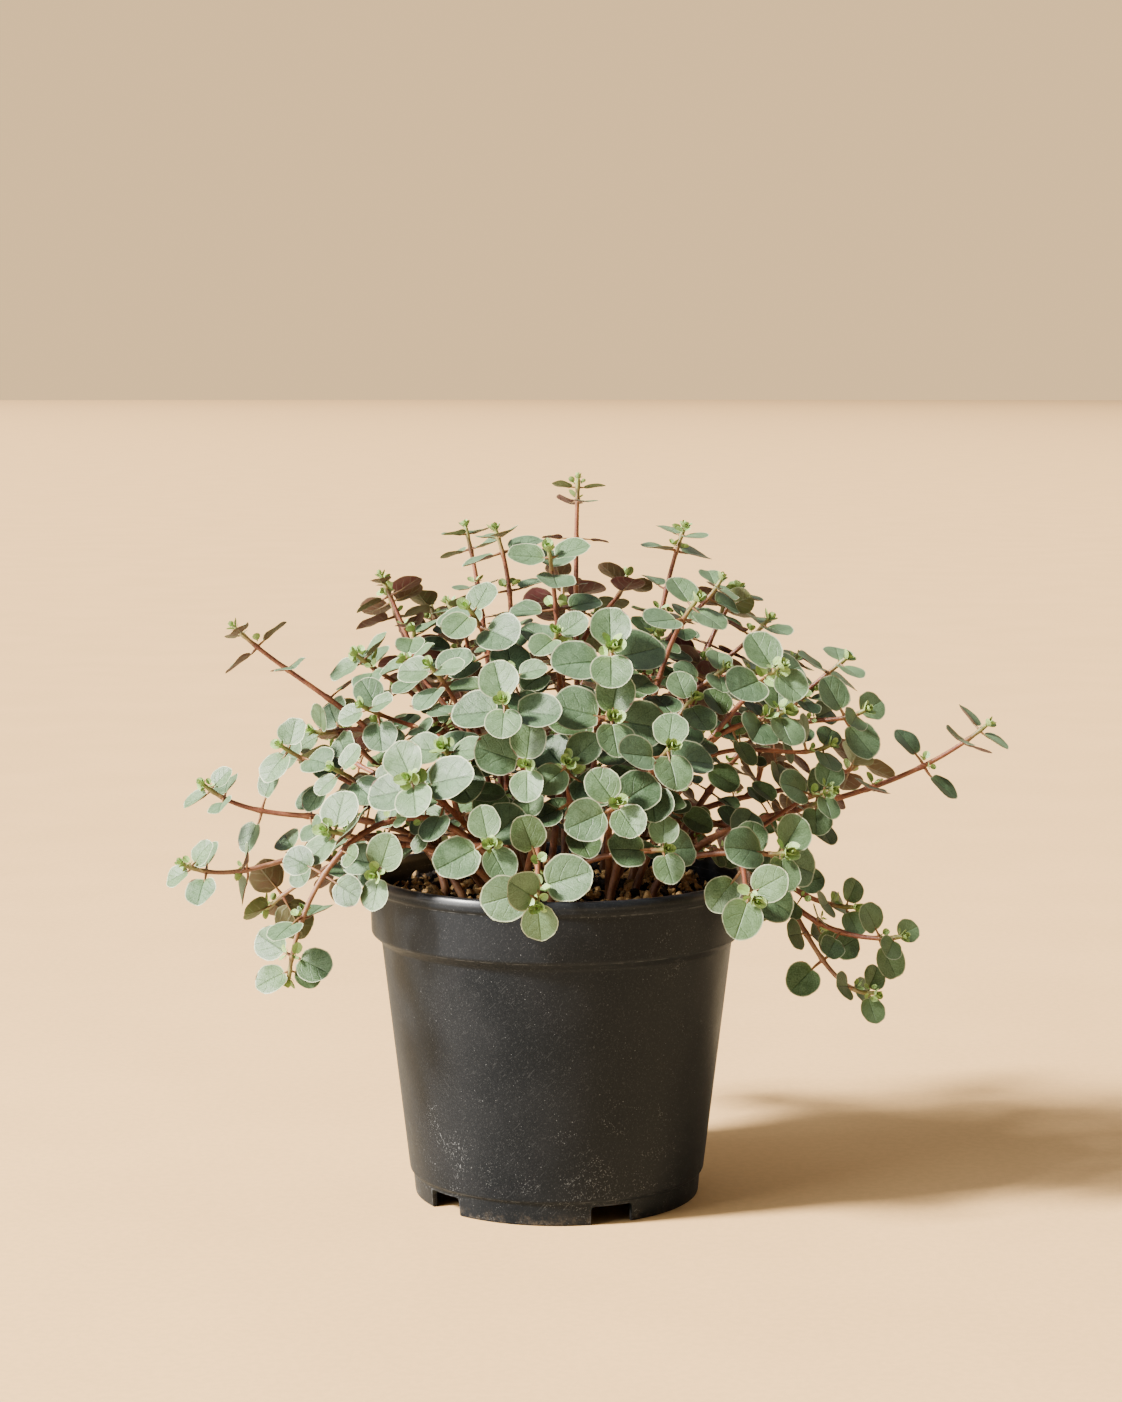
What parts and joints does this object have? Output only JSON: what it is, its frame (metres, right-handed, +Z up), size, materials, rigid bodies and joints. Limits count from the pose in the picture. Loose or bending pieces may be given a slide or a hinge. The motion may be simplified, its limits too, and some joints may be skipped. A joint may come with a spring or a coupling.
{
  "type": "potted pilea plant",
  "caption": "Trailing pilea with round silvery leaves on red-brown stems, growing in soil in a plain black plastic nursery pot.",
  "frame": {"origin": "middle of the pot's underside, on the surface it stands on", "axes": "+Z up, -Y towards the front, +X to the right when seen from the front"},
  "size_m": [0.2346, 0.1721, 0.2016],
  "materials": {
    "pot": "black nursery-pot plastic, satin, with fine pale scratches and dust",
    "soil": "damp dark potting mix with tan bark and pumice bits",
    "leaf": "soft silvery sage leaves with a paler bloom, wine-red beneath",
    "stem": "smooth red-brown living stems, greener near the tips"
  },
  "bodies": {
    "root": {"pot": "pot", "soil": "soil", "stem_01": "leaf", "stem_02": "leaf", "stem_03": "leaf", "stem_04": "leaf", "stem_05": "leaf", "stem_06": "leaf", "stem_07": "leaf", "stem_08": "leaf", "stem_09": "leaf", "stem_10": "leaf", "stem_11": "leaf", "stem_12": "leaf", "stem_13": "leaf", "stem_14": "leaf", "stem_15": "leaf", "stem_16": "leaf", "stem_17": "leaf", "stem_18": "leaf", "stem_19": "leaf", "stem_20": "leaf", "stem_21": "leaf", "stem_22": "leaf", "stem_23": "leaf", "stem_24": "leaf", "stem_25": "leaf", "stem_26": "leaf", "stem_27": "leaf", "stem_28": "leaf", "stem_29": "leaf", "stem_30": "leaf", "stem_31": "leaf", "stem_32": "leaf", "stem_33": "leaf", "stem_34": "leaf", "stem_35": "leaf", "stem_36": "leaf", "stem_37": "leaf", "stem_38": "leaf", "stem_39": "leaf", "stem_40": "leaf", "stem_41": "leaf", "stem_42": "leaf"}
  },
  "joints": []
}
